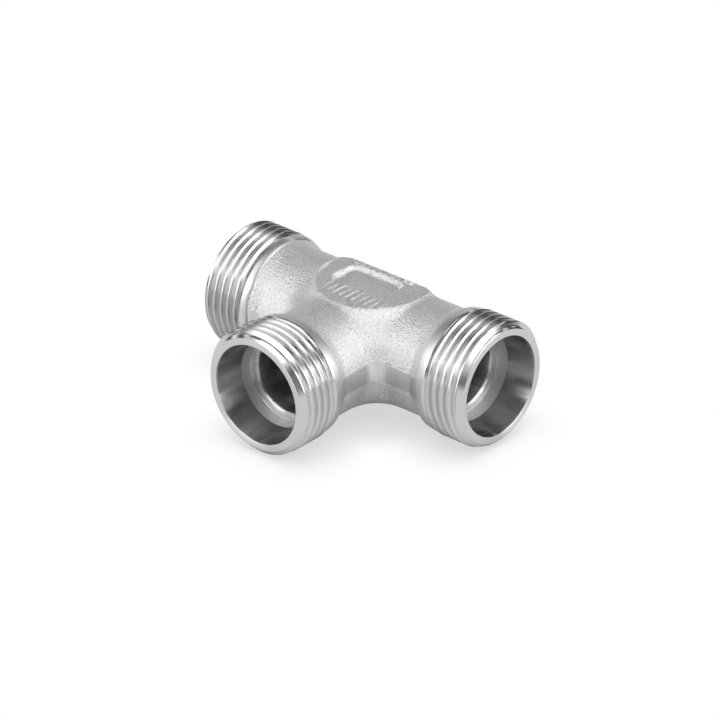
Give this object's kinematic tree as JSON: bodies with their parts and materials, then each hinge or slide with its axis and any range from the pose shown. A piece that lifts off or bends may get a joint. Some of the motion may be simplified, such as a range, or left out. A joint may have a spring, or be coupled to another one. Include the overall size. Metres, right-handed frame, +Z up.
{
  "type": "compression tee body",
  "caption": "Forged and turned tee body of a compression fitting: male threads outside, a cone and tube socket in each port, and bores that meet.",
  "frame": {"origin": "centre of the footprint, at the level of the thread crests that the body rests on", "axes": "X along the run, -Y out of the branch, +Z up through the marking pad"},
  "size_m": [0.056, 0.0388, 0.0218],
  "materials": {
    "tee_body": "bead-blasted forging with bright turned ends"
  },
  "bodies": {
    "root": {"tee_body": "tee_body"}
  },
  "joints": []
}
